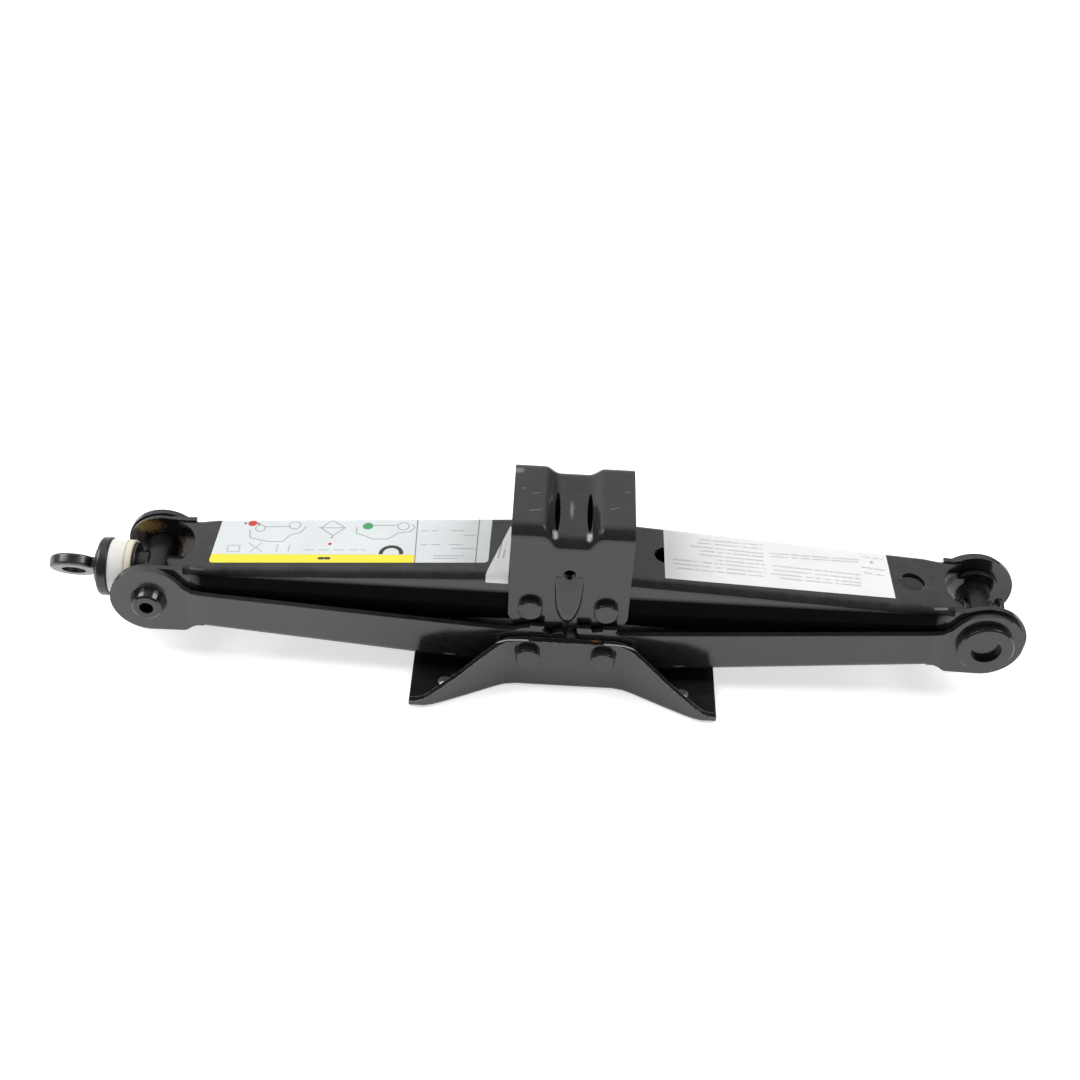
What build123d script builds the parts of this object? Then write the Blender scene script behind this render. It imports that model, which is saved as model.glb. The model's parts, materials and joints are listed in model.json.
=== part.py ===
from build123d import *
import math
import os

os.makedirs("parts", exist_ok=True)

# ---------------------------------------------------------------- driving dimensions (mm)
L = 190.0          # trunnion axis distance from the middle plane, folded
C = 17.0           # central pivot distance from the middle plane (gear pitch radius)
ZB = 20.3          # lower pivot height
ZS = 43.1          # upper pivot height
ZT = (ZB + ZS) / 2  # trunnion axis height
T_BASE = 3.0
T_LOW = 2.8
T_UP = 2.5
T_SAD = 2.8
RUN = 0.05         # radial running clearance of the hinge pins

Y_CHEEK = 31.8     # base cheek outer plane
Y_LOW_IN = 28.5    # lower arm outer plane at the base pivots
Y_LOW_EAR = 22.0   # lower arm outer plane at the ears
Y_UP = 21.4        # upper arm outer plane at the toothed end
Y_UP_OUT = 19.7    # upper arm outer plane where the ear neck starts
Y_UP_EAR = 18.7    # upper arm outer plane at the ears
Y_SAD = 24.8       # saddle cheek outer plane
R_EAR = 17.6
R_EAR_UP = {-1: 16.9, 1: 19.2}   # left and right upper arm
R_RIVET = 4.0
R_JOURNAL = 5.2
R_SCREW = 6.4
WEB_H = 15.2       # upper arm web above the upper pivot
SLOPE = (ZS - ZB) / 2 / (L - C)

R_BEND_UP = 4.2     # outer bend radius of the upper arm

GEAR_N = 8
GEAR_RO = 19.0
GEAR_RR = 13.4
GEAR_CUT = 14.6    # blank height of the toothed end above the pivot


def save(node, *shapes):
    solids = []
    for s in shapes:
        solids += list(s.solids())
    shape = solids[0] if len(solids) == 1 else Compound(children=solids)
    shape.label = node
    export_step(shape, f"parts/{node}.step")


def cyl_y(r, y0, y1, x, z):
    return Pos(x, (y0 + y1) / 2, z) * Rot(90, 0, 0) * Cylinder(r, abs(y1 - y0))


def cyl_x(r, x0, x1, y=0.0, z=ZT):
    return Pos((x0 + x1) / 2, y, z) * Rot(0, 90, 0) * Cylinder(r, abs(x1 - x0))


def cyl_z(r, z0, z1, x, y):
    return Pos(x, y, (z0 + z1) / 2) * Cylinder(r, z1 - z0)


def box(x0, x1, y0, y1, z0, z1):
    return Pos((x0 + x1) / 2, (y0 + y1) / 2, (z0 + z1) / 2) * Box(abs(x1 - x0), abs(y1 - y0), abs(z1 - z0))


def prism_y(pts, y0, y1):
    """polygon in X,Z extruded along Y from y0 to y1"""
    f = make_face(Polyline(*[(x, 0, z) for x, z in pts], close=True))
    return Pos(0, min(y0, y1), 0) * extrude(f, abs(y1 - y0), dir=(0, 1, 0))


def prism_z(pts, z0, z1):
    f = make_face(Polyline(*[(x, y, 0) for x, y in pts], close=True))
    return Pos(0, 0, z0) * extrude(f, z1 - z0, dir=(0, 0, 1))


def u_face(x, w, zb, zt, t, ro, up=True):
    """U section in the plane X = x, outer half width w, bend radius ro, web at zb if up else at zt"""
    if up:
        o = [(-w, zt), (-w, zb), (w, zb), (w, zt)]
        i = [(w - t, zt), (w - t, zb + t), (-w + t, zb + t), (-w + t, zt)]
        ob, ib = zb, zb + t
    else:
        o = [(-w, zb), (-w, zt), (w, zt), (w, zb)]
        i = [(w - t, zb), (w - t, zt - t), (-w + t, zt - t), (-w + t, zb)]
        ob, ib = zt, zt - t
    f = make_face(Polyline(*[(x, y, z) for y, z in o + i], close=True)).faces()[0]
    vo = [v for v in f.vertices() if abs(v.Z - ob) < 1e-4 and abs(abs(v.Y) - w) < 1e-4]
    vi = [v for v in f.vertices() if abs(v.Z - ib) < 1e-4 and abs(abs(v.Y) - w + t) < 1e-4]
    f = f.fillet_2d(ro, vo)
    vi = [v for v in f.vertices() if abs(v.Z - ib) < 1e-4 and abs(abs(v.Y) - w + t) < 1e-4]
    f = f.fillet_2d(ro - t, vi)
    return f


def gear_points(cx, cz, side, up, phase):
    """toothed sector, points of one closed outline; side=+1 teeth towards +X, up=+1 teeth run upwards.
    angle a is measured from the line between the pivots, positive upwards (downwards if up=-1)"""
    m = 2 * C / GEAR_N
    alpha = math.radians(27)
    rb = C * math.cos(alpha)
    inv_a = math.tan(alpha) - alpha
    half_p = math.pi / (2 * GEAR_N) - 0.019      # half tooth angle at the pitch circle, less backlash
    def half(r):
        if r <= rb:
            return half_p + inv_a
        a = math.acos(rb / r)
        return half_p + inv_a - (math.tan(a) - a)
    pts = []
    for k in range(-1, 3):
        a0 = math.radians(phase + k * 360 / GEAR_N)
        if math.degrees(a0) < -24 or math.degrees(a0) > 112:
            continue
        fl = [GEAR_RR, rb + 0.01, rb + 0.6, rb + 1.3, rb + 2.1, rb + 2.9, GEAR_RO]
        fl = sorted(set(r for r in fl if r <= GEAR_RO))
        for r in fl:
            pts.append((r, a0 - half(r)))
        for r in reversed(fl):
            pts.append((r, a0 + half(r)))
    a_first = math.radians(-24 if phase > 0 and phase < 22 else -30)
    out = [(12.6, math.radians(-80))] + [(12.6, math.radians(a)) for a in (-60, -40)]
    first = pts[0][1]
    out.append((GEAR_RR, first - 0.09))
    out += pts
    last = pts[-1][1]
    out += [(GEAR_RR, last + 0.05), (GEAR_RR, max(last + 0.1, math.radians(110)))]
    return [(cx + side * r * math.cos(a), cz + up * r * math.sin(a)) for r, a in out]


def arm_outline(kind, side, phase):
    """side view outline of one arm as a list of prisms (x > 0 arm, mirrored for side = -1)"""
    s = side
    if kind == "low":
        cz, up = ZB, 1
        body = [(24, 31.55), (30, 31.8), (75, 33.4), (121, 35.2), (164, 36.9), (170.4, 37.2), (173.4, 39.0),
                (176.2, 42.2), (L, ZT), (175.0, 14.47), (173.6, 15.1), (171.6, 16.8), (169.2, 18.2), (166.02, 18.7), (165.98, 17.0),
                (140, 15.5), (103.3, 13.4), (75.7, 11.8), (30, 9.0), (22, 8.8), (C, 8.0)]
        ear = [(L, ZT + R_EAR), (L - 9.5, ZT + R_EAR - 2.9), (176.2, 42.2), (175.0, 14.47), (L, ZT - R_EAR)]
        re = R_EAR
        inner = [(C, 8.0), (24, 8.9), (24, 31.55), (C + 3, 33.0), (C, ZB + 12.0)]
    else:
        cz, up = ZS, -1
        body = [(22, ZS + WEB_H - SLOPE * 5 + 0.6), (168, ZS + WEB_H - SLOPE * 151 + 0.6), (L, ZT), (166, ZT - 4.6), (150, 27.6),
                (75, 29.9), (30, 31.9), (24, 32.2)]
        re = R_EAR_UP[side]
        ear = [(168, ZS + WEB_H - SLOPE * 151 + 0.6), (179, ZS + WEB_H - SLOPE * 162 + 0.6), (L - 3.5, ZT + re - 0.35), (L, ZT + re), (L, ZT - re),
               (180, ZT - 12.9), (172, ZT - 7.2), (166, ZT - 4.6)]
        inner = [(C, ZS + WEB_H + 0.6), (24, ZS + WEB_H - SLOPE * 7 + 0.6), (24, 32.2), (C + 3, 31.0), (C, ZS - 12.0)]
    polys = [[(s * x, z) for x, z in p] for p in (body, ear, inner)]
    g = gear_points(s * C, cz, -s, up, phase)
    g = g + [(s * (C + 4), cz + up * 10.5), (s * (C + 4), cz - up * 6)]
    lim = [(-60, cz - 40), (60, cz - 40), (60, cz + 40), (-60, cz + 40)]
    gear = prism_y(g, -45, 45)
    if up > 0:
        gear = gear & box(-70, 70, -50, 50, cz - 30, cz + GEAR_CUT)
    else:
        gear = gear & box(-70, 70, -50, 50, cz - GEAR_CUT, cz + 30)
    solid = gear
    for p in polys:
        solid = solid + prism_y(p, -45, 45)
    solid = solid + cyl_y(re, -45, 45, s * L, ZT)
    solid = solid + cyl_y(12.6, -45, 45, s * C, cz)
    return solid


def lower_arm(side, phase):
    s = side
    # plan taper: parallel at the toothed end, parallel at the ears
    secs = [u_face(s * 30, Y_LOW_IN, 9.0, 62, T_LOW, 3.8), u_face(s * 166, Y_LOW_EAR + 0.9, 17.0, 62, T_LOW, 3.8)]
    mid = loft(secs, ruled=True)
    inn = extrude(u_face(s * 30, Y_LOW_IN, 9.0, 62, T_LOW, 3.8), 36, dir=(-s, 0, 0))
    # plates reaching down at the toothed end (bend only where the web is)
    plates = None
    for sy in (1, -1):
        pl = box(s * -8, s * 30, sy * Y_LOW_IN, sy * (Y_LOW_IN - T_LOW), 0, 62)
        plates = pl if plates is None else plates + pl
    inn = inn & box(s * 24.5, s * 31, -40, 40, 0, 70)
    # ear plates with a short joggle from the tapered part
    ears = None
    for sy in (1, -1):
        e = prism_z([(s * 166, sy * (Y_LOW_EAR + 0.9)), (s * 172, sy * Y_LOW_EAR), (s * 212, sy * Y_LOW_EAR),
                     (s * 212, sy * (Y_LOW_EAR - T_LOW)), (s * 172, sy * (Y_LOW_EAR - T_LOW)), (s * 166, sy * (Y_LOW_EAR + 0.9 - T_LOW))], 0, 62)
        ears = e if ears is None else ears + e
    u = mid + inn + plates + ears
    a = u & arm_outline("low", s, phase)
    # web stops short of both ends with a rounded cut
    hw = Y_LOW_EAR - T_LOW - 1.2
    a = a - (box(s * 163, s * 215, -hw, hw, 0, 30) )
    a = a - cyl_z(hw, 0, 30, s * 163, 0)
    # holes
    a = a - cyl_y(R_RIVET + RUN, -50, 50, s * C, ZB)
    a = a - cyl_y(R_JOURNAL + RUN, -50, 50, s * L, ZT)
    return a


def upper_arm(side, phase):
    s = side
    z17 = ZS + WEB_H
    def sec(x, w):
        return u_face(s * x, w, 10, z17 - (x - C) * SLOPE, T_UP, R_BEND_UP, up=False)
    mid = loft([sec(14, Y_UP), sec(164.5, Y_UP_OUT)], ruled=True)
    neck = loft([sec(164.5, Y_UP_OUT), sec(171, Y_UP_EAR)], ruled=True) + loft([sec(171, Y_UP_EAR), sec(212, Y_UP_EAR)], ruled=True)
    plates = None
    for sy in (1, -1):
        pl = box(s * -8, s * 16, sy * Y_UP, sy * (Y_UP - T_UP), 0, z17 - 4.0)
        pl = pl + box(s * 174, s * 214, sy * Y_UP_EAR, sy * (Y_UP_EAR - T_UP), 0, 60)
        plates = pl if plates is None else plates + pl
    u = mid + neck + plates
    a = u & arm_outline("up", s, phase)
    # web starts clear of the toothed end and ends in a concave notch round the trunnion
    hi = Y_UP - T_UP - 0.6
    a = a - box(s * -10, s * 24.0, -hi, hi, 0, 70)
    he = Y_UP_EAR - T_UP
    a = a - (cyl_z(18.0, 0, 80, s * L, 0) & box(s * 150, s * 220, -he - 0.3, he + 0.3, 0, 80))
    a = a - box(s * (L + 1), s * (L + 30), -he - 0.3, he + 0.3, 0, 80)
    a = a - cyl_y(R_RIVET + RUN, -50, 50, s * C, ZS)
    a = a - cyl_y(R_JOURNAL + RUN, -50, 50, s * L, ZT)
    return a


# ---------------------------------------------------------------- base plate
plan = [(-69.8, -48.4), (-66.5, -49.3), (-63.0, -49.4), (-59.0, -48.3), (-55.0, -46.6), (-45.5, -41.9), (-36.0, -37.0), (-31.0, -34.4), (-27.0, -32.7), (-22.0, -31.9),
        (22.0, -31.9), (27.0, -32.7), (31.0, -34.4), (36.0, -37.0), (45.5, -41.9), (55.0, -46.6), (59.0, -48.3), (63.0, -49.4), (66.5, -49.3), (69.8, -48.4)]
outline = plan + [(x, -y) for x, y in reversed(plan)]


def inset(pts, t):
    """offset of the front curve towards +Y by t along the local normal"""
    out = []
    n = len(pts)
    for i, (x, y) in enumerate(pts):
        x0, y0 = pts[max(0, i - 1)]
        x1, y1 = pts[min(n - 1, i + 1)]
        dx, dy = x1 - x0, y1 - y0
        l = math.hypot(dx, dy)
        out.append((x - dy / l * t, y + dx / l * t))
    out[0] = (pts[0][0], out[0][1])
    out[-1] = (pts[-1][0], out[-1][1])
    return out


plate = prism_z(outline, 0, T_BASE)
front_in = inset(plan, T_BASE)
wall_f = prism_z(plan + list(reversed(front_in)), 0, 40)
wall_b = mirror(wall_f, about=Plane.XZ)
top_edge = [(-69.9, 3.0), (-66.5, 3.9), (-63.0, 5.6), (-56.8, 9.6), (-47.6, 15.0), (-38.6, 21.3), (-31.0, 26.2), (-26.5, 27.9), (-21.0, 28.4),
            (21.0, 28.4), (26.5, 27.9), (31.0, 26.2), (38.6, 21.3), (47.6, 15.0), (56.8, 9.6), (63.0, 5.6), (66.5, 3.9), (69.9, 3.0)]
keep = prism_y(top_edge + [(69.9, 0), (-69.9, 0)], -60, 60)
base = plate + ((wall_f + wall_b) & keep)
BEND = 2.6
bottom_edges = [e for e in base.edges() if e.bounding_box().max.Z < 0.01 and abs(e.center().X) < 68 and abs(e.center().Y) > 28]
try:
    base = fillet(bottom_edges, BEND)
    print("base bend ok")
except Exception as err:
    print("base bend failed", err)
for sx in (1, -1):
    for sy in (1, -1):
        base = base - cyl_z(2.9, -1, 5, sx * 54.5, sy * 34.5)
        base = base - cyl_y(R_RIVET, sy * 25, sy * 36, sx * C, ZB)
        base = base - box(sx * 4.5, sx * 19.5, sy * 25.2, sy * 28.78, -1, T_BASE + 0.01)
save("base_plate", base)

# ---------------------------------------------------------------- arms
PH_R, PH_L = 9.0, 31.5
arms = {
    "lower_arm_right": lower_arm(1, PH_R),
    "lower_arm_left": lower_arm(-1, PH_L - 45.0),
    "upper_arm_right": upper_arm(1, PH_R),
    "upper_arm_left": upper_arm(-1, PH_L - 45.0),
}
# web holes of the right upper arm
ur = arms["upper_arm_right"]
ur = ur - cyl_z(6.0, 40, 70, 156.6, -0.6) - cyl_z(5.5, 40, 70, 43.5, 0)
arms["upper_arm_right"] = ur
# matching hole in the left web (under the label)
arms["upper_arm_left"] = arms["upper_arm_left"] - cyl_z(5.5, 40, 70, -43.5, 0)
for n, a in arms.items():
    save(n, a)

# ---------------------------------------------------------------- saddle
X_SAD = 27.0
Z_SAD = 88.0
G_DEPTH_B, G_DEPTH_F = 3.3, 6.6
GF = 6.3           # half width of the groove floor
GS = 13.6          # half width at the shoulders


R_FOLD = 6.0
# cheeks with a rounded shoulder that dips with the groove
def cheek_outline():
    r = 9.6
    pts = [(-X_SAD - 0.3, ZS - 0.6)]
    cx = -C - 0.3
    for i in range(0, 7):
        a = math.radians(180 + i * 15)
        pts.append((cx - 0.4 + r * math.cos(a), ZS - 2.6 + r * math.sin(a)))
    right = [(-x, z) for x, z in reversed(pts)]
    return pts + right


low = cheek_outline()

# fold profile: rounded rectangle in the Y-Z plane swept along X per strip so that the fold dips with the groove
def fold_strip(x0, x1, z_of_x, r, dep_front=True):
    """rounded corner sheet: two sections at x0 and x1 lofted"""
    def sec(x):
        dz_f, dz_b = z_of_x(x)
        w = Y_SAD
        o = [(-w, ZS - 14), (-w, Z_SAD - dz_f), (w, Z_SAD - dz_b), (w, ZS - 14)]
        t = T_SAD
        i = [(w - t, ZS - 14), (w - t, Z_SAD - dz_b - t), (-w + t, Z_SAD - dz_f - t), (-w + t, ZS - 14)]
        f = make_face(Polyline(*[(x, y, z) for y, z in o + i], close=True)).faces()[0]
        vo = [v for v in f.vertices() if abs(abs(v.Y) - w) < 1e-4 and v.Z > ZS]
        f = f.fillet_2d(r, vo)
        vi = [v for v in f.vertices() if abs(abs(v.Y) - w + t) < 1e-4 and v.Z > ZS]
        f = f.fillet_2d(r - t, vi)
        return f
    return loft([sec(x0), sec(x1)], ruled=True)


def dips(x):
    ax = abs(x)
    if ax >= GS:
        k = 0.0
    elif ax <= GF:
        k = 1.0
    else:
        k = (GS - ax) / (GS - GF)
        k = 0.5 - 0.5 * math.cos(math.pi * k)
    return (G_DEPTH_F * k, G_DEPTH_B * k)


n_sl = 7
slope_xs = [GF + (GS - GF) * i / n_sl for i in range(n_sl + 1)]
xs = [-X_SAD] + [-x for x in reversed(slope_xs)] + slope_xs + [X_SAD]
sad = None
for a, b in zip(xs[:-1], xs[1:]):
    st = fold_strip(a, b, dips, R_FOLD)
    sad = st if sad is None else sad + st
side = prism_y(low + [(X_SAD, Z_SAD + 5), (-X_SAD, Z_SAD + 5)], -Y_SAD - 1, Y_SAD + 1)
sad = sad & side
# slits in the groove slopes
for sx in (1, -1):
    slit = Pos(sx * (GF + 0.9), -5.2, Z_SAD - 4) * scale(Cylinder(1.0, 20), (1.2, 12.6, 1))
    sad = sad - slit
# cheek hole and stamped rib on the front cheek
Z_HOLE = 63.2
hole = cyl_y(2.7, -Y_SAD - 6, -Y_SAD + T_SAD + 1, -0.4, Z_HOLE)


def rib_sec(z, w, d):
    """flat-backed bump, half width w, standing d proud of the cheek"""
    y0 = -Y_SAD + 0.5
    pts = [(-w, y0), (-w * 0.93, -Y_SAD - 0.48 * d), (-w * 0.62, -Y_SAD - 0.90 * d), (0, -Y_SAD - d),
           (w * 0.62, -Y_SAD - 0.90 * d), (w * 0.93, -Y_SAD - 0.48 * d), (w, y0)]
    e = Spline(*[(x - 0.3, y, z) for x, y in pts])
    l = Line((w - 0.3, y0, z), (-w - 0.3, y0, z))
    return make_face([e, l])


rib = loft([rib_sec(61.8, 6.6, 0.12), rib_sec(57.0, 6.5, 1.0), rib_sec(51.0, 6.2, 1.8), rib_sec(45.5, 5.6, 2.3),
            rib_sec(41.0, 4.6, 2.5), rib_sec(37.8, 3.2, 2.1), rib_sec(35.8, 1.7, 1.3), rib_sec(34.8, 0.7, 0.5)])
sad = sad + rib
sad = sad - hole
for sx in (1, -1):
    for sy in (1, -1):
        sad = sad - cyl_y(R_RIVET, sy * 18, sy * 26, sx * C, ZS)
save("saddle", sad)


# ---------------------------------------------------------------- rivets
def rivet(x, z, y_out, y_in, sy, high):
    """flat head outside, shank through both plates, upset head inside"""
    head = cyl_y(5.5, sy * y_out, sy * (y_out + high), x, z)
    ed = [e for e in head.edges() if abs(e.center().Y - sy * (y_out + high)) < 0.01]
    head = chamfer(ed, 0.6)
    shank = cyl_y(R_RIVET, sy * (y_in - 0.4), sy * (y_out + 0.2), x, z)
    tail = cyl_y(5.4, sy * (y_in - 2.4), sy * (y_in - 0.3), x, z)
    return head + shank + tail


low_riv = [rivet(sx * C, ZB, Y_CHEEK, Y_LOW_IN - T_LOW, sy, 3.4) for sx in (1, -1) for sy in (1, -1)]
up_riv = [rivet(sx * C, ZS, Y_SAD, Y_UP - T_UP, sy, 3.1) for sx in (1, -1) for sy in (1, -1)]
save("base_rivets", *low_riv)
save("saddle_rivets", *up_riv)

# ---------------------------------------------------------------- left trunnion (thrust block)
BLK = Y_UP_EAR - T_UP - 0.3      # half length of the blocks between the upper ears
blk = cyl_y(8.0, -BLK, BLK, -L, ZT)
blk = blk + cyl_x(8.3, -L - 9.2, -L - 4)
blk = blk + cyl_y(R_JOURNAL, -Y_LOW_EAR - 0.2, Y_LOW_EAR + 0.2, -L, ZT)
blk = blk - cyl_x(R_SCREW + 0.08, -L - 20, -L + 20)
blk = blk - cyl_y(3.2, Y_LOW_EAR - 6, Y_LOW_EAR + 1, -L, ZT) - cyl_y(3.2, -Y_LOW_EAR - 1, -Y_LOW_EAR + 6, -L, ZT)
save("thrust_block", blk)


def collar_left(sy):
    y0 = sy * (Y_LOW_EAR + 0.2)
    c = Pos(-L, sy * (Y_LOW_EAR + 0.2 + 2.5), ZT) * Rot(90 if sy < 0 else -90, 0, 0) * Cone(8.2, 6.6, 5.0)
    c = chamfer([e for e in c.edges() if abs(e.center().Y - sy * (Y_LOW_EAR + 5.2)) < 0.01], 0.7)
    c = c - cyl_y(3.2, sy * (Y_LOW_EAR - 1), sy * (Y_LOW_EAR + 10), -L, ZT)
    return c


save("thrust_block_collars", collar_left(-1), collar_left(1))

# ---------------------------------------------------------------- thrust stack on the screw, left of the block
X_BRG = -L - 9.2
race_r = cyl_x(11.4, X_BRG - 2.0, X_BRG) - cyl_x(R_SCREW + 0.08, X_BRG - 3, X_BRG + 1)
save("thrust_washer", race_r)
ball_r = 1.5
ball_c = 9.0
n_ball = 14
balls = []
for i in range(n_ball):
    a = 2 * math.pi * i / n_ball
    balls.append(Pos(X_BRG - 2.0 - ball_r - 0.05, ball_c * math.cos(a), ZT + ball_c * math.sin(a)) * Sphere(ball_r))
save("thrust_balls", *balls)
X_RING1 = X_BRG - 1.3           # white ring right face
X_RING0 = X_RING1 - 10.9
ring = cyl_x(12.8, X_RING0, X_RING1)
ring = fillet([e for e in ring.edges() if abs(e.center().X - X_RING0) < 0.01 or abs(e.center().X - X_RING1) < 0.01], 0.6)
ring = ring - cyl_x(11.7, X_RING1 - 6.3, X_RING1 + 1) - cyl_x(R_SCREW, X_RING0 - 1, X_RING1 + 1)
groove = cyl_x(14, X_RING1 - 3.4, X_RING1 - 2.8) - cyl_x(12.4, X_RING1 - 4, X_RING1 - 1)
ring = ring - groove
save("nylon_ring", ring)
race_l = cyl_x(11.7, X_RING1 - 6.3, X_BRG - 2.0 - 2 * ball_r - 0.02) - cyl_x(R_SCREW, X_RING1 - 8, X_RING1 + 1)
save("thrust_race", race_l)
X_FL1 = X_RING0 - 0.0
X_FL0 = X_FL1 - 5.2
fl = cyl_x(13.6, X_FL0, X_FL1)
fl = fillet([e for e in fl.edges() if abs(e.center().X - X_FL0) < 0.01], 2.0)
fl = fillet([e for e in fl.edges() if abs(e.center().X - X_FL1) < 0.01], 0.5)
fl = fl + cyl_x(8.6, X_FL0 - 1.4, X_FL0 + 1)
fl = fl - cyl_x(R_SCREW, X_FL0 - 5, X_FL1 + 5)
save("drive_flange", fl)

# ---------------------------------------------------------------- lead screw with eye
X_END = L + 11.2
PITCH = 3.0
R_CORE = R_SCREW - 1.15
prof = [(X_FL0 - 1.6, 0), (X_FL0 - 1.6, R_SCREW), (-L + 13.6, R_SCREW), (-L + 14.6, R_CORE)]
x = -L + 15.0
while x + PITCH < X_END - 3.2:
    prof += [(x, R_CORE), (x + 0.85, R_SCREW), (x + 1.5, R_SCREW), (x + 2.35, R_CORE)]
    x += PITCH
prof += [(X_END - 3.0, R_CORE), (X_END - 1.0, R_CORE), (X_END, R_CORE - 1.0), (X_END, 0)]
scr = revolve(make_face(Polyline(*[(px, 0, ZT + pr) for px, pr in prof], close=True)), axis=Axis((0, 0, ZT), (1, 0, 0)))
# eye: flattened ring at the outer end, tilted about the screw axis
X_EYE = -L - 39.0
TILT = -55.0
eye = Cylinder(11.2, 5.6)
neck = Pos(10.5, 0, 0) * Box(9, 12.0, 5.6)
eye = eye + neck
eye = fillet([e for e in eye.edges() if abs(abs(e.center().Z) - 2.8) < 0.01], 1.4)
eye = eye - Cylinder(5.5, 10)
eye = Pos(X_EYE, 0, ZT) * Rot(TILT, 0, 0) * eye
scr = scr + eye + cyl_x(5.2, X_EYE + 11.4, X_FL0 - 1)
save("lead_screw", scr)

# ---------------------------------------------------------------- right trunnion (nut)
nut = cyl_y(8.0, -BLK + 2.6, BLK - 2.6, L, ZT)
nut = nut + box(L - 8.0, L + 8.0, -9.5, 9.5, ZT - 9.0, ZT - 1.0)
nut = nut + cyl_y(R_JOURNAL, -Y_LOW_EAR - 0.2, Y_LOW_EAR + 0.2, L, ZT)
nut = nut - cyl_x(R_SCREW + 0.3, L - 20, L + 20)
save("trunnion_nut", nut)
wash = []
for sy in (1, -1):
    w = cyl_y(12.6, sy * (BLK - 2.6), sy * (BLK), L, ZT) - cyl_y(R_JOURNAL, sy * (BLK - 6), sy * (BLK + 6), L, ZT)
    wash.append(w)
save("nut_washers", *wash)


def head_right(sy):
    y0, y1 = Y_LOW_EAR + 0.2, Y_LOW_EAR + 3.6
    h = cyl_y(12.8, sy * y0, sy * y1, L, ZT)
    h = chamfer([e for e in h.edges() if abs(e.center().Y - sy * y1) < 0.01], 0.7)
    rec = cyl_y(6.9, sy * (y1 - 3.0), sy * (y1 + 1), L, ZT)
    h = h - rec
    return h


save("nut_heads", head_right(-1), head_right(1))

# end stop pressed on the end of the screw
stop = cyl_x(7.4, X_END - 2.1, X_END - 0.2) - cyl_x(R_CORE, X_END - 6, X_END + 1)
stop = stop.cut(cyl_x(R_CORE, X_END - 6, X_END + 1))
save("screw_end_stop", stop)

# ---------------------------------------------------------------- labels
T_LAB = 0.12


def label(side, plan_pts, z_min=0.0):
    """thin sheet hugging the web and bends of an upper arm, outline given in plan"""
    z17 = ZS + WEB_H
    def sec(x, w):
        return u_face(side * x, w + T_LAB, 10, z17 - (x - C) * SLOPE + T_LAB, T_LAB, R_BEND_UP + T_LAB, up=False)
    shell = loft([sec(14, Y_UP), sec(164.5, Y_UP_OUT)], ruled=True)
    return shell & prism_z(plan_pts, 25, 70) & box(-200, 200, -40, 40, z_min, 70)


def round_corners(pts, r, n=4):
    """polygon with each corner replaced by a short arc"""
    out = []
    m = len(pts)
    for i in range(m):
        p0, p, p1 = pts[i - 1], pts[i], pts[(i + 1) % m]
        d0 = math.hypot(p0[0] - p[0], p0[1] - p[1])
        d1 = math.hypot(p1[0] - p[0], p1[1] - p[1])
        a = (p[0] + (p0[0] - p[0]) / d0 * r, p[1] + (p0[1] - p[1]) / d0 * r)
        b = (p[0] + (p1[0] - p[0]) / d1 * r, p[1] + (p1[1] - p[1]) / d1 * r)
        for k in range(n + 1):
            t = k / n
            out.append(((1 - t) ** 2 * a[0] + 2 * t * (1 - t) * p[0] + t * t * b[0], (1 - t) ** 2 * a[1] + 2 * t * (1 - t) * p[1] + t * t * b[1]))
    return out


lab_l = label(-1, round_corners([(-161.9, 18.7), (-163.1, -13.2), (-37.0, -12.4), (-36.7, 19.6)], 2.2), 45.0)
lab_r = label(1, [(42.5, 19.6), (42.5, -16.0), (147.3, -13.3), (146.6, 18.4)], 44.0)
save("label_left", lab_l)
save("label_right", lab_r)
tag = label(-1, [(-28.1, 13.6), (-37.6, -19.6), (-37.6, -21.0), (-36.0, -23.0), (-27.5, -23.0), (-27.5, 12.0)], 53.0)
save("small_tag", tag)
print("done")
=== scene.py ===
import json
import math

import bpy
from mathutils import Vector, Matrix


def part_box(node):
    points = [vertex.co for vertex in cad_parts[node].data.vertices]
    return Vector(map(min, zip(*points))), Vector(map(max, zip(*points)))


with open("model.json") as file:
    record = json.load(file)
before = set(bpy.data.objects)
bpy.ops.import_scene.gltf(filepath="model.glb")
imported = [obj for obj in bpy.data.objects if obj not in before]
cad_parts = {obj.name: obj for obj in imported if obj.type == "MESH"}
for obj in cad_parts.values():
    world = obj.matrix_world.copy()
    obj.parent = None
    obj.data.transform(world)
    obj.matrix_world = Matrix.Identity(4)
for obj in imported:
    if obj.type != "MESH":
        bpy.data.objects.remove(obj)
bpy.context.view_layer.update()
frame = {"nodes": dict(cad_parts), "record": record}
nodes = frame["nodes"]


# ---------------------------------------------------------------- material helpers
def new_mat(name):
    m = bpy.data.materials.new(name)
    m.use_nodes = True
    nt = m.node_tree
    nt.nodes.clear()
    out = nt.nodes.new("ShaderNodeOutputMaterial")
    bsdf = nt.nodes.new("ShaderNodeBsdfPrincipled")
    nt.links.new(bsdf.outputs["BSDF"], out.inputs["Surface"])
    return m, nt, bsdf


def N(nt, kind, **kw):
    n = nt.nodes.new(kind)
    for k, v in kw.items():
        setattr(n, k, v)
    return n


def put(n, **kw):
    for k, v in kw.items():
        n.inputs[k.replace("_", " ")].default_value = v
    return n


def coords(nt):
    tc = N(nt, "ShaderNodeTexCoord")
    return tc.outputs["Object"]


def noise(nt, vec, scale, detail=4.0, rough=0.55, dist=0.0):
    n = N(nt, "ShaderNodeTexNoise")
    n.inputs["Scale"].default_value = scale
    n.inputs["Detail"].default_value = detail
    n.inputs["Roughness"].default_value = rough
    n.inputs["Distortion"].default_value = dist
    nt.links.new(vec, n.inputs["Vector"])
    return n.outputs["Fac"]


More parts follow.
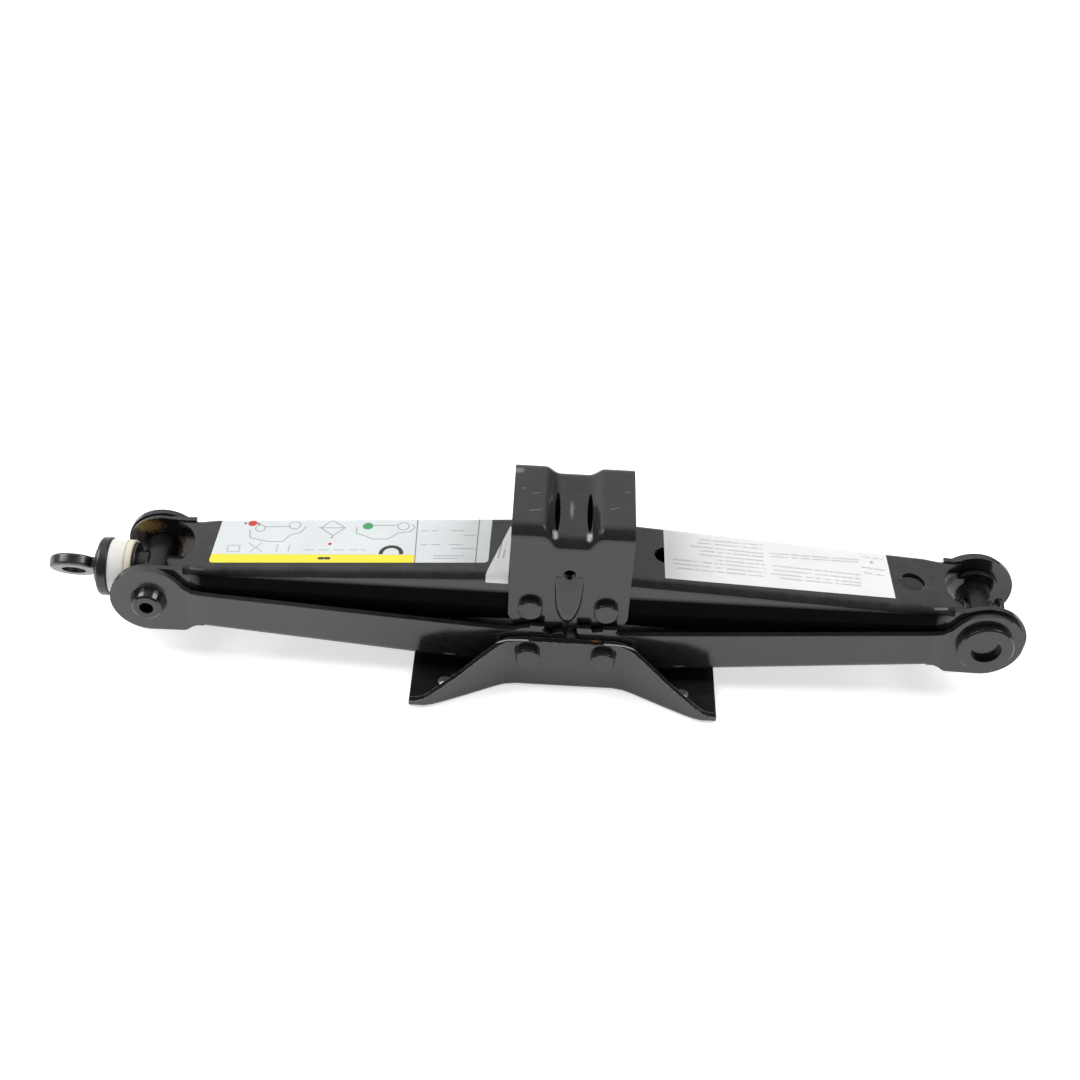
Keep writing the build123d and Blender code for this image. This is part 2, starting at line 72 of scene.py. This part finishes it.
def remap(nt, val, a, b, c, d):
    n = N(nt, "ShaderNodeMapRange")
    n.clamp = True
    n.inputs["From Min"].default_value = a
    n.inputs["From Max"].default_value = b
    n.inputs["To Min"].default_value = c
    n.inputs["To Max"].default_value = d
    nt.links.new(val, n.inputs["Value"])
    return n.outputs["Result"]


def mix(nt, fac, c1, c2):
    n = N(nt, "ShaderNodeMix", data_type="RGBA")
    if isinstance(fac, float):
        n.inputs[0].default_value = fac
    else:
        nt.links.new(fac, n.inputs[0])
    for i, c in ((6, c1), (7, c2)):
        if isinstance(c, tuple):
            n.inputs[i].default_value = (*c, 1.0)
        else:
            nt.links.new(c, n.inputs[i])
    return n.outputs[2]


def math_node(nt, op, a, b=None):
    n = N(nt, "ShaderNodeMath", operation=op)
    for i, v in enumerate((a, b)):
        if v is None:
            continue
        if isinstance(v, (int, float)):
            n.inputs[i].default_value = v
        else:
            nt.links.new(v, n.inputs[i])
    return n.outputs[0]


def edge_mask(nt, radius, lo=0.02, hi=0.18, samples=6):
    """where a rounded-edge normal differs from the true one"""
    bev = N(nt, "ShaderNodeBevel", samples=samples)
    bev.inputs["Radius"].default_value = radius
    geo = N(nt, "ShaderNodeNewGeometry")
    d = N(nt, "ShaderNodeVectorMath", operation="DOT_PRODUCT")
    nt.links.new(bev.outputs["Normal"], d.inputs[0])
    nt.links.new(geo.outputs["Normal"], d.inputs[1])
    inv = math_node(nt, "SUBTRACT", 1.0, d.outputs["Value"])
    return remap(nt, inv, lo, hi, 0.0, 1.0), bev.outputs["Normal"]



def scaled(nt, vec, centre, scale):
    """(vec - centre) * scale, all in metres"""
    s = N(nt, "ShaderNodeVectorMath", operation="SUBTRACT")
    nt.links.new(vec, s.inputs[0])
    s.inputs[1].default_value = centre
    m = N(nt, "ShaderNodeVectorMath", operation="MULTIPLY")
    nt.links.new(s.outputs[0], m.inputs[0])
    m.inputs[1].default_value = scale
    return m.outputs[0]


def length(nt, vec):
    n = N(nt, "ShaderNodeVectorMath", operation="LENGTH")
    nt.links.new(vec, n.inputs[0])
    return n.outputs["Value"]


def spot(nt, vec, centre, radii, soft=0.35, rag=0.5, rag_scale=900.0):
    """1 inside an ellipsoid about centre (millimetres), ragged at its rim"""
    c = tuple(k / 1000.0 for k in centre)
    s = tuple(1000.0 / k for k in radii)
    d = length(nt, scaled(nt, vec, c, s))
    if rag:
        n = noise(nt, vec, rag_scale, 4.0, 0.7)
        d = math_node(nt, "ADD", d, remap(nt, n, 0.25, 0.75, -rag, rag))
    return remap(nt, d, 1.0 - soft, 1.0 + soft, 1.0, 0.0)


def box_mask(nt, vec, lo, hi, soft=0.3):
    """1 inside a box given in millimetres"""
    sep = N(nt, "ShaderNodeSeparateXYZ")
    nt.links.new(vec, sep.inputs[0])
    out = None
    for i in range(3):
        a = remap(nt, sep.outputs[i], (lo[i] - soft) / 1000.0, (lo[i] + soft) / 1000.0, 0.0, 1.0)
        b = remap(nt, sep.outputs[i], (hi[i] - soft) / 1000.0, (hi[i] + soft) / 1000.0, 1.0, 0.0)
        m = math_node(nt, "MULTIPLY", a, b)
        out = m if out is None else math_node(nt, "MULTIPLY", out, m)
    return out


def plan(nt, vec):
    """object X and Y in millimetres, Z dropped"""
    m = N(nt, "ShaderNodeVectorMath", operation="MULTIPLY")
    nt.links.new(vec, m.inputs[0])
    m.inputs[1].default_value = (1000.0, 1000.0, 0.0)
    return m.outputs[0]


def seg_dist(nt, p, a, b):
    """distance in the plan from p to the segment a-b"""
    s = N(nt, "ShaderNodeVectorMath", operation="SUBTRACT")
    nt.links.new(p, s.inputs[0])
    s.inputs[1].default_value = (a[0], a[1], 0.0)
    dx, dy = b[0] - a[0], b[1] - a[1]
    l2 = dx * dx + dy * dy
    if l2 < 1e-9:
        return length(nt, s.outputs[0])
    d = N(nt, "ShaderNodeVectorMath", operation="DOT_PRODUCT")
    nt.links.new(s.outputs[0], d.inputs[0])
    d.inputs[1].default_value = (dx / l2, dy / l2, 0.0)
    t = N(nt, "ShaderNodeMath", operation="MULTIPLY", use_clamp=True)
    nt.links.new(d.outputs["Value"], t.inputs[0])
    t.inputs[1].default_value = 1.0
    k = N(nt, "ShaderNodeVectorMath", operation="SCALE")
    k.inputs[0].default_value = (dx, dy, 0.0)
    nt.links.new(t.outputs[0], k.inputs["Scale"])
    r = N(nt, "ShaderNodeVectorMath", operation="SUBTRACT")
    nt.links.new(s.outputs[0], r.inputs[0])
    nt.links.new(k.outputs[0], r.inputs[1])
    return length(nt, r.outputs[0])


def ring_dist(nt, p, c, r):
    return math_node(nt, "ABSOLUTE", math_node(nt, "SUBTRACT", seg_dist(nt, p, c, c), r))


def nearest(nt, dists):
    out = dists[0]
    for d in dists[1:]:
        out = math_node(nt, "MINIMUM", out, d)
    return out


def stroke(nt, dist, half, soft=0.12):
    return remap(nt, dist, half - soft, half + soft, 1.0, 0.0)


def paint(name, base=(0.008, 0.008, 0.009), rough=0.13, dust=0.35, wear=0.55, bevel=0.00035, peel=0.02, edge_col=(0.30, 0.27, 0.24), ior=1.57, film=0.0, spots=(), lines=(), painted_shade_line=None, ragged=(0.52, 0.66)):
    """gloss black enamel on pressed steel with thin dust, fine scuffs and worn edges; optional spots, scratch lines,
    and an optional painted shade band that makes the flanges' lower part near-black with almost no specular
    """
    m, nt, b = new_mat(name)
    v = coords(nt)
    n_big = noise(nt, v, 22.0, 3.0)
    n_mid = noise(nt, v, 160.0, 5.0, 0.6)
    n_fine = noise(nt, v, 1300.0, 2.0, 0.5)
    edge, bn = edge_mask(nt, bevel)
    col = mix(nt, remap(nt, n_big, 0.3, 0.7, 0.0, 1.0), base, tuple(min(1.0, c * 1.6 + 0.002) for c in base))
    # dust mostly on faces that look up, in specks and a thin film
    geo = N(nt, "ShaderNodeNewGeometry")
    sep = N(nt, "ShaderNodeSeparateXYZ")
    nt.links.new(geo.outputs["Normal"], sep.inputs[0])
    up = remap(nt, sep.outputs["Z"], 0.2, 1.0, 0.10, 1.0)
    dn = remap(nt, n_mid, 0.35, 0.75, 0.15, 1.0)
    dust_f = math_node(nt, "MULTIPLY", math_node(nt, "MULTIPLY", up, dn), dust * 0.10)
    col = mix(nt, dust_f, col, (0.42, 0.41, 0.38))
    speck = math_node(nt, "MULTIPLY", remap(nt, n_fine, 0.70, 0.78, 0.0, 1.0), dust * 0.35)
    col = mix(nt, math_node(nt, "MULTIPLY", speck, up), col, (0.45, 0.44, 0.42))
    if film:
        col = mix(nt, math_node(nt, "MULTIPLY", remap(nt, n_big, 0.25, 0.75, 0.5, 1.0), film), col, (0.34, 0.33, 0.32))
    # edge wear broken by noise
    broke = remap(nt, noise(nt, v, 420.0, 4.0, 0.7), ragged[0], ragged[1], 0.0, 1.0)
    wear_f = math_node(nt, "MULTIPLY", math_node(nt, "MULTIPLY", edge, broke), wear)
    col = mix(nt, wear_f, col, edge_col)
    r = remap(nt, n_mid, 0.3, 0.75, rough * 0.75, rough * 1.45)
    r = math_node(nt, "ADD", r, math_node(nt, "MULTIPLY", wear_f, 0.25))
    r = math_node(nt, "ADD", r, math_node(nt, "MULTIPLY", dust_f, 1.2))
    for kind, args, colour, amount, dulling_and_shade in spots:
        f = spot(nt, v, *args) if kind == "spot" else box_mask(nt, v, *args)
        f = math_node(nt, "MULTIPLY", f, amount)
        col = mix(nt, f, col, colour)
        r = math_node(nt, "ADD", r, math_node(nt, "MULTIPLY", f, dulling_and_shade))
    if lines:
        p = plan(nt, v)
        d = nearest(nt, [seg_dist(nt, p, a, c) for a, c in lines])
        f = math_node(nt, "MULTIPLY", stroke(nt, d, 0.16, 0.14), remap(nt, sep.outputs["Z"], 0.5, 0.9, 0.0, 0.45))
        col = mix(nt, f, col, (0.42, 0.41, 0.40))
    if painted_shade_line:
        # painted shade: below a sloping line the flanges' outer faces are made near-black with almost no specular,
        # standing in for the deep shade seen under the upper arms' flanges
        psep = N(nt, "ShaderNodeSeparateXYZ")
        nt.links.new(v, psep.inputs[0])
        ax = math_node(nt, "ABSOLUTE", psep.outputs["X"])
        zb = math_node(nt, "ADD", math_node(nt, "MULTIPLY", ax, painted_shade_line[0]), painted_shade_line[1] / 1000.0)
        below = remap(nt, math_node(nt, "SUBTRACT", zb, psep.outputs["Z"]), -0.0006, 0.0018, 0.0, 1.0)
        outer = remap(nt, math_node(nt, "ABSOLUTE", psep.outputs["Y"]), 0.0178, 0.0184, 0.0, 1.0)
        inner_x = remap(nt, ax, 0.166, 0.172, 1.0, 0.0)
        dulling_and_shade = math_node(nt, "MULTIPLY", math_node(nt, "MULTIPLY", below, outer), inner_x)
        col = mix(nt, math_node(nt, "MULTIPLY", dulling_and_shade, 1.0), col, (0.0030, 0.0030, 0.0032))
        nt.links.new(remap(nt, dulling_and_shade, 0.0, 1.0, 0.5, 0.01), b.inputs["Specular IOR Level"])
    nt.links.new(col, b.inputs["Base Color"])
    nt.links.new(r, b.inputs["Roughness"])
    b.inputs["IOR"].default_value = ior
    bump = N(nt, "ShaderNodeBump")
    bump.inputs["Strength"].default_value = peel
    bump.inputs["Distance"].default_value = 0.0006
    h = math_node(nt, "ADD", n_mid, math_node(nt, "MULTIPLY", n_fine, 0.10))
    nt.links.new(h, bump.inputs["Height"])
    nt.links.new(bn, bump.inputs["Normal"])
    nt.links.new(bump.outputs["Normal"], b.inputs["Normal"])
    return m


def steel(name, base, rough=0.3, grime=0.3, metallic=0.9, bevel=0.0002, grime_col=(0.10, 0.07, 0.045)):
    m, nt, b = new_mat(name)
    v = coords(nt)
    n_big = noise(nt, v, 60.0, 4.0)
    n_mid = noise(nt, v, 420.0, 5.0, 0.65)
    edge, bn = edge_mask(nt, bevel)
    col = mix(nt, remap(nt, n_big, 0.3, 0.7, 0.0, 1.0), base, tuple(c * 0.72 for c in base))
    g = remap(nt, n_mid, 0.5, 0.75, 0.0, grime)
    col = mix(nt, g, col, grime_col)
    col = mix(nt, math_node(nt, "MULTIPLY", edge, 0.5), col, (0.55, 0.55, 0.54))
    nt.links.new(col, b.inputs["Base Color"])
    b.inputs["Metallic"].default_value = metallic
    nt.links.new(remap(nt, n_mid, 0.3, 0.7, rough * 0.8, rough * 1.4), b.inputs["Roughness"])
    bump = N(nt, "ShaderNodeBump")
    bump.inputs["Strength"].default_value = 0.08
    bump.inputs["Distance"].default_value = 0.0004
    nt.links.new(n_mid, bump.inputs["Height"])
    nt.links.new(bn, bump.inputs["Normal"])
    nt.links.new(bump.outputs["Normal"], b.inputs["Normal"])
    return m


def nylon(name):
    """natural nylon: cream, more yellow towards the far end, grease marks by the bearing"""
    m, nt, b = new_mat(name)
    v = coords(nt)
    n_big = noise(nt, v, 90.0, 4.0)
    n_mid = noise(nt, v, 600.0, 4.0, 0.6)
    edge, bn = edge_mask(nt, 0.0003)
    sep = N(nt, "ShaderNodeSeparateXYZ")
    nt.links.new(v, sep.inputs[0])
    lo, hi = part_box("nylon_ring")
    along = remap(nt, sep.outputs["X"], lo.x + 0.55 * (hi.x - lo.x), hi.x, 0.0, 1.0)
    col = mix(nt, remap(nt, n_big, 0.35, 0.7, 0.0, 1.0), (0.86, 0.86, 0.83), (0.78, 0.77, 0.72))
    col = mix(nt, along, col, (0.72, 0.66, 0.50))
    col = mix(nt, remap(nt, n_mid, 0.62, 0.80, 0.0, 0.5), col, (0.42, 0.33, 0.20))
    nt.links.new(col, b.inputs["Base Color"])
    nt.links.new(remap(nt, n_mid, 0.3, 0.7, 0.38, 0.55), b.inputs["Roughness"])
    b.inputs["Subsurface Weight"].default_value = 0.12
    b.inputs["Subsurface Radius"].default_value = (0.004, 0.0035, 0.003)
    bump = N(nt, "ShaderNodeBump")
    bump.inputs["Strength"].default_value = 0.06
    bump.inputs["Distance"].default_value = 0.0004
    nt.links.new(n_mid, bump.inputs["Height"])
    nt.links.new(bn, bump.inputs["Normal"])
    nt.links.new(bump.outputs["Normal"], b.inputs["Normal"])
    return m


def paper(name, base=(0.82, 0.83, 0.82), layers=(), soil=0.25):
    """coated paper; layers are (colour, mask builder) pairs drawn over the ground colour"""
    m, nt, b = new_mat(name)
    v = coords(nt)
    n_big = noise(nt, v, 45.0, 4.0)
    n_mid = noise(nt, v, 700.0, 4.0, 0.6)
    col = mix(nt, remap(nt, n_big, 0.35, 0.7, 0.0, 1.0), base, tuple(c * 0.93 for c in base))
    p = plan(nt, v)
    for colour, build in layers:
        col = mix(nt, build(nt, v, p), col, colour)
    col = mix(nt, remap(nt, noise(nt, v, 260.0, 5.0, 0.7), 0.60, 0.82, 0.0, soil), col, (0.30, 0.28, 0.25))
    nt.links.new(col, b.inputs["Base Color"])
    nt.links.new(remap(nt, n_mid, 0.3, 0.7, 0.26, 0.42), b.inputs["Roughness"])
    bump = N(nt, "ShaderNodeBump")
    bump.inputs["Strength"].default_value = 0.05
    bump.inputs["Distance"].default_value = 0.0003
    nt.links.new(n_mid, bump.inputs["Height"])
    nt.links.new(bump.outputs["Normal"], b.inputs["Normal"])
    return m


def lines_of(segs, half, rings=(), top_half=None):
    def build(nt, v, p):
        d = [seg_dist(nt, p, a, c) for a, c in segs] + [ring_dist(nt, p, c, r) for c, r in rings]
        return stroke(nt, nearest(nt, d), half)
    return build


def dots_of(dots):
    def build(nt, v, p):
        out = None
        for c, r in dots:
            m = stroke(nt, seg_dist(nt, p, c, c), r, 0.15)
            out = m if out is None else math_node(nt, "MAXIMUM", out, m)
        return out
    return build


def half_ring(c, r, half, y_min):
    def build(nt, v, p):
        m = stroke(nt, ring_dist(nt, p, c, r), half)
        return math_node(nt, "MULTIPLY", m, box_mask(nt, v, (c[0] - 20, y_min, 0), (c[0] + 20, c[1] + 20, 200), 0.1))
    return build


def block(x0, x1, y0, y1):
    def build(nt, v, p):
        return box_mask(nt, v, (x0, y0, 0), (x1, y1, 200), 0.12)
    return build


def chain(*pts):
    return list(zip(pts[:-1], pts[1:]))


# generic line drawings on the long label: two plain vehicle outlines, a lozenge and small tick boxes
outline_1 = chain((-148.1, 10.0), (-147.1, 4.3), (-143.3, 3.2), (-138.4, 1.6), (-131.6, 1.9), (-129.0, 6.2), (-124.2, 8.4), (-122.5, 12.4))
outline_2 = chain((-98.8, 12.1), (-98.6, 7.8), (-94.5, 6.0), (-90.8, 3.8), (-83.7, 3.8), (-79.1, 8.3), (-74.1, 9.0), (-72.0, 11.9), (-73.2, 14.1))
lozenge = chain((-115.4, 11.7), (-109.2, 6.0), (-104.3, 11.7), (-110.6, 17.2), (-115.4, 11.7)) + chain((-116.4, 11.7), (-103.9, 11.7))
tick_boxes = chain((-156.3, -1.1), (-150.8, -1.1), (-150.6, -5.3), (-156.1, -5.3), (-156.3, -1.1)) + chain((-147.0, 0.7), (-140.0, -5.6)) + chain((-141.0, 0.8), (-145.5, -5.6)) + chain((-133.5, -0.6), (-133.6, -5.5)) + chain((-128.0, -0.6), (-128.2, -5.5))
sills = chain((-141.5, 12.2), (-130.4, 12.7)) + chain((-91.1, 13.6), (-80.0, 13.7))
left_lines = outline_1 + outline_2 + lozenge + sills
dashes = [((-120.6, -4.1), (-116.5, -4.1)), ((-114.0, -4.1), (-110.0, -4.0)), ((-107.5, -4.0), (-103.0, -4.0)), ((-100.5, -4.0), (-96.5, -3.9)), ((-95.0, -3.9), (-93.3, -3.9)),
          ((-68.6, 9.8), (-66.0, 9.8)), ((-64.0, 9.8), (-61.3, 9.8)), ((-54.8, 9.9), (-48.9, 9.9)), ((-49.1, 6.7), (-43.6, 6.7)),
          ((-68.2, -0.1), (-65.5, 0.0)), ((-63.5, 0.0), (-59.6, 0.0)), ((-55.0, 0.0), (-49.6, 0.1)), ((-53.9, -2.8), (-43.9, -2.7)), ((-61.7, -7.9), (-48.6, -7.8)), ((-61.7, -9.6), (-51.0, -9.5))]
right_rows = [((59.5, 13.5), (88.0, 14.2)), ((58.4, 11.1), (87.7, 11.6)), ((55.0, 8.3), (88.3, 8.2)), ((59.6, 5.7), (88.1, 5.9)), ((59.1, 2.9), (87.9, 3.1)),
              ((66.9, 0.3), (88.5, 0.4)), ((46.8, -2.4), (88.7, -2.2)), ((46.3, -5.2), (88.5, -5.0)), ((48.4, -8.1), (88.3, -7.7)),
              ((91.5, 9.0), (133.0, 11.0)), ((92.1, 6.9), (132.5, 9.3)), ((92.4, 0.5), (132.5, 0.4)), ((92.1, -2.4), (132.2, -2.4)), ((91.5, -5.2), (132.2, -5.1)), ((95.4, -7.7), (132.3, -7.2)),
              ((134.5, 13.8), (144.3, 13.2)), ((134.2, 6.1), (144.4, 5.5)), ((134.9, 2.4), (143.5, 1.6))]


def broken_rows(segs, half, scale=420.0):
    """rows of plain grey rule, broken unevenly along their length"""
    def build(nt, v, p):
        d = nearest(nt, [seg_dist(nt, p, a, c) for a, c in segs])
        s = N(nt, "ShaderNodeVectorMath", operation="MULTIPLY")
        nt.links.new(v, s.inputs[0])
        s.inputs[1].default_value = (1.0, 0.25, 0.0)
        gap = remap(nt, noise(nt, s.outputs[0], scale, 2.0, 0.6), 0.40, 0.48, 0.25, 1.0)
        return math_node(nt, "MULTIPLY", stroke(nt, d, half, 0.2), gap)
    return build


left_layers = [
    ((0.92, 0.82, 0.05), block(-170.0, -70.4, -30.0, -7.2)),
    ((0.62, 0.64, 0.66), block(-170.0, -70.4, -7.25, -6.95)),
    ((0.06, 0.34, 0.14), dots_of([((-93.8, 13.0), 2.4)])),
    ((0.62, 0.05, 0.04), dots_of([((-147.5, 14.8), 2.1), ((-109.8, 0.2), 0.9)])),
    ((0.10, 0.10, 0.11), dots_of([((-144.6, 14.4), 0.7), ((-150.8, 14.8), 0.7), ((-109.5, 4.9), 0.5)])),
    ((0.26, 0.27, 0.28), lines_of(left_lines, 0.20, rings=[((-143.4, 11.2), 2.2), ((-127.7, 13.4), 2.6), ((-77.4, 13.0), 2.6)])),
    ((0.42, 0.43, 0.44), lines_of(tick_boxes, 0.24)),
    ((0.42, 0.43, 0.44), lines_of(dashes, 0.26)),
    ((0.03, 0.03, 0.03), half_ring((-81.3, -6.2), 4.6, 0.95, -6.9)),
    ((0.05, 0.05, 0.05), lines_of([((-113.2, -9.9), (-111.9, -9.9)), ((-110.4, -9.9), (-109.2, -9.9))], 0.9)),
    ((0.15, 0.15, 0.16), lines_of([((-71.3, 20.2), (-70.0, -13.8)), ((-42.6, 21.1), (-42.7, -12.9))], 0.22)),
]
right_layers = [
    ((0.55, 0.55, 0.56), broken_rows(right_rows, 0.42)),
    ((0.40, 0.40, 0.41), dots_of([((139.1, 10.2), 0.8)])),
    ((0.62, 0.62, 0.63), lines_of([((49.5, 18.6), (119.3, 19.8))], 0.2)),
]
tag_layers = [
    ((0.40, 0.40, 0.41), broken_rows([((-34.9, -9.0), (-33.2, 8.0)), ((-32.6, -9.0), (-30.9, 8.0)), ((-30.4, -9.0), (-29.4, 2.0))], 0.35)),
]

worn = (0.55, 0.54, 0.52)
rust = (0.36, 0.13, 0.035)
mats = {
    # base: edge wear turned up, made nearly continuous and given a paler colour, partly worn paint and partly painted
    # highlight; the two pale strips at y = -31 mm along the cheeks' top edges are painted highlight
    "paint_base": paint("paint_base", painted_shade_line=None, dust=0.2, wear=0.9, rough=0.13, bevel=0.0005, edge_col=(0.46, 0.45, 0.43), ragged=(0.36, 0.54), spots=[
        ("box", ((-52.0, -31.65, 9.0), (-17.0, -30.8, 40.0), 0.08), (0.62, 0.61, 0.59), 0.7, 0.1),
        ("box", ((17.0, -31.65, 9.0), (52.0, -30.8, 40.0), 0.08), (0.62, 0.61, 0.59), 0.7, 0.1),
        ("spot", ((13.0, -28.5, 29.0), (2.0, 1.5, 1.6)), rust, 0.8, 0.35),
        ("spot", ((19.5, -28.5, 35.5), (1.4, 1.5, 1.8)), rust, 0.5, 0.3),
        ("spot", ((33.0, -21.0, 27.0), (2.6, 3.0, 1.4)), rust, 0.45, 0.3)]),
    "paint_lower_arm": paint("paint_lower_arm", dust=0.3, wear=0.35, rough=0.13, film=0.012, spots=[
        # painted light: a soft-edged grey box lightens the front of the lower arms towards their left end
        ("box", ((-230.0, -40.0, -20.0), (-95.0, -15.0, 90.0), 25.0), (0.34, 0.34, 0.34), 0.10, 0.02),
        ("spot", ((33.4, -21.0, 29.6), (2.4, 3.0, 1.5)), rust, 0.5, 0.3),
        ("box", ((168.0, 15.2, 18.0), (190.0, 19.5, 41.0), 0.8), (0.80, 0.79, 0.76), 0.92, 0.3)]),
    # upper arms: painted shade band on the outer flange faces below z = 49.3 mm at the centre, a little lower towards
    # the ends
    "paint_upper_arm": paint("paint_upper_arm", painted_shade_line=(-0.008, 49.3), dust=0.45, wear=0.5, rough=0.13, film=0.006, spots=[
        ("spot", ((-174.4, -22.0, 41.0), (1.6, 1.5, 1.1)), worn, 0.9, 0.2),
        ("spot", ((173.4, -22.0, 40.3), (1.5, 1.5, 1.0)), worn, 0.9, 0.2),
        ("spot", ((-197.0, 16.2, 43.5), (6.5, 1.6, 3.6)), (0.34, 0.20, 0.05), 0.75, 0.3),
        ("spot", ((-182.0, 16.2, 33.0), (3.5, 1.6, 4.5)), (0.20, 0.12, 0.04), 0.6, 0.3),
        ("box", ((168.0, 15.2, 18.0), (190.0, 18.4, 41.0), 0.8), (0.80, 0.79, 0.76), 0.92, 0.3)]),
    "paint_saddle": paint("paint_saddle", dust=0.25, wear=0.8, rough=0.16, spots=[
        ("spot", ((-7.8, -20.6, 82.8), (1.3, 2.4, 1.9)), worn, 0.75, 0.15),
        ("spot", ((7.0, -20.6, 82.4), (1.2, 2.4, 1.7)), worn, 0.75, 0.15),
        ("spot", ((-25.5, 16.6, 88.0), (2.6, 1.8, 1.5)), (0.30, 0.29, 0.27), 0.5, 0.2),
        ("spot", ((-0.9, -3.1, 82.0), (0.8, 5.0, 3.0)), (0.30, 0.29, 0.28), 0.45, 0.1)],
        lines=[((-18.9, 0.2), (-16.0, 1.1)), ((-19.6, -11.7), (-14.8, -10.8)), ((-23.4, 3.4), (-22.0, 4.1)), ((16.0, -8.0), (19.5, -6.8)), ((22.5, 5.0), (24.5, 4.2))]),
    "paint_rivet": paint("paint_rivet", dust=0.1, wear=0.5, rough=0.13),
    "paint_collar": paint("paint_collar", dust=0.15, wear=0.5, rough=0.13, spots=[
        ("box", ((166.0, 11.0, 15.0), (184.5, 19.5, 40.5), 0.6), (0.80, 0.79, 0.76), 0.92, 0.3)]),
    "paint_flange": paint("paint_flange", dust=0.2, wear=0.5, rough=0.26),
    "steel_block": steel("steel_block", (0.055, 0.055, 0.058), rough=0.26, grime=0.35),
    "steel_race": steel("steel_race", (0.07, 0.067, 0.063), rough=0.28, grime=0.5),
    "steel_ball": steel("steel_ball", (0.6, 0.6, 0.6), rough=0.12, grime=0.1),
    "steel_screw": steel("steel_screw", (0.10, 0.10, 0.105), rough=0.28, grime=0.4),
    "nylon_white": nylon("nylon_white"),
    "label_left_face": paper("label_left_face", (0.76, 0.80, 0.81), left_layers),
    "label_right_face": paper("label_right_face", (0.88, 0.88, 0.88), right_layers, 0.15),
    "label_tag": paper("label_tag", (0.84, 0.84, 0.82), tag_layers),
}
slot_of = {s["node"]: s["material_slot"] for s in frame["record"]["subparts"]}
for n, o in nodes.items():
    o.data.materials.clear()
    o.data.materials.append(mats[slot_of[n]])

# ---------------------------------------------------------------- floor, light, camera
floor_mesh = bpy.data.meshes.new("floor")
S = 12.0
floor_mesh.from_pydata([(-S, -S, 0), (S, -S, 0), (S, S, 0), (-S, S, 0)], [], [(0, 1, 2, 3)])
floor = bpy.data.objects.new("floor", floor_mesh)
bpy.context.scene.collection.objects.link(floor)
fm, fnt, fb = new_mat("floor_pale")
fb.inputs["Base Color"].default_value = (0.93, 0.93, 0.93, 1.0)
fb.inputs["Roughness"].default_value = 0.7
fb.inputs["Specular IOR Level"].default_value = 0.2
fb.inputs["Emission Color"].default_value = (1.0, 1.0, 1.0, 1.0)
fb.inputs["Emission Strength"].default_value = 0.62
floor_mesh.materials.append(fm)
floor.location = (0, 0, -0.0002)


def area(name, loc, target, size, energy, size_y=None):
    l = bpy.data.lights.new(name, "AREA")
    l.shape = "RECTANGLE"
    l.size = size
    l.size_y = size_y or size
    l.energy = energy
    o = bpy.data.objects.new(name, l)
    bpy.context.scene.collection.objects.link(o)
    o.location = loc
    d = Vector(target) - Vector(loc)
    o.rotation_euler = d.to_track_quat("-Z", "Y").to_euler()
    return o


area("left_soft", (-1.9, 0.1, 2.0), (0, 0, 0), 1.4, 44.0, 1.4)
area("right_soft", (1.9, 0.2, 2.0), (0, 0, 0), 1.4, 38.0, 1.4)
# studio room: even dim white, brighter behind the object
world = bpy.data.worlds.new("world")
bpy.context.scene.world = world
world.use_nodes = True
wnt = world.node_tree
bg = wnt.nodes["Background"]
wtc = wnt.nodes.new("ShaderNodeTexCoord")
wdot = wnt.nodes.new("ShaderNodeVectorMath")
wdot.operation = "DOT_PRODUCT"
wnt.links.new(wtc.outputs["Generated"], wdot.inputs[0])
wdot.inputs[1].default_value = tuple(Vector((-0.35, 0.78, 0.58)).normalized())
wr = wnt.nodes.new("ShaderNodeMapRange")
wr.interpolation_type = "SMOOTHSTEP"
wr.inputs["From Min"].default_value = 0.35
wr.inputs["From Max"].default_value = 1.0
wr.inputs["To Min"].default_value = 0.17
wr.inputs["To Max"].default_value = 0.85
wnt.links.new(wdot.outputs["Value"], wr.inputs["Value"])
# the backdrop itself looks as pale as the floor
wlp = wnt.nodes.new("ShaderNodeLightPath")
wmx = wnt.nodes.new("ShaderNodeMix")
wnt.links.new(wlp.outputs["Is Camera Ray"], wmx.inputs[0])
wnt.links.new(wr.outputs["Result"], wmx.inputs[2])
wmx.inputs[3].default_value = 0.98
wnt.links.new(wmx.outputs[0], bg.inputs["Strength"])
bg.inputs["Color"].default_value = (1.0, 1.0, 1.0, 1.0)
bpy.context.scene.view_settings.view_transform = "Standard"

AZ, EL, ROLL = math.radians(-0.24), math.radians(40.0), math.radians(3.27)
DIST = 0.75313
# the model stands 3.6 mm higher than the fitted camera frame
T = Vector((-0.01431, 0.0, 0.05796 + 0.0036))
back = Vector((math.sin(AZ) * math.cos(EL), -math.cos(AZ) * math.cos(EL), math.sin(EL)))
right = Vector((math.cos(AZ), math.sin(AZ), 0.0))
up = right.cross(-back).normalized()
up = right.cross(back * -1.0)
r0 = (-back).cross(Vector((0, 0, 1))).normalized()
u0 = r0.cross(-back)
r2 = math.cos(ROLL) * r0 + math.sin(ROLL) * u0
u2 = -math.sin(ROLL) * r0 + math.cos(ROLL) * u0
cam_data = bpy.data.cameras.new("camera")
cam_data.sensor_width = 36.0
cam_data.lens = 36.0 * 1664.82 / 1080.0
cam_data.clip_start = 0.01
cam = bpy.data.objects.new("camera", cam_data)
bpy.context.scene.collection.objects.link(cam)
cam.matrix_world = Matrix((
    (r2.x, u2.x, back.x, (T + back * DIST).x),
    (r2.y, u2.y, back.y, (T + back * DIST).y),
    (r2.z, u2.z, back.z, (T + back * DIST).z),
    (0, 0, 0, 1)))
bpy.context.scene.camera = cam
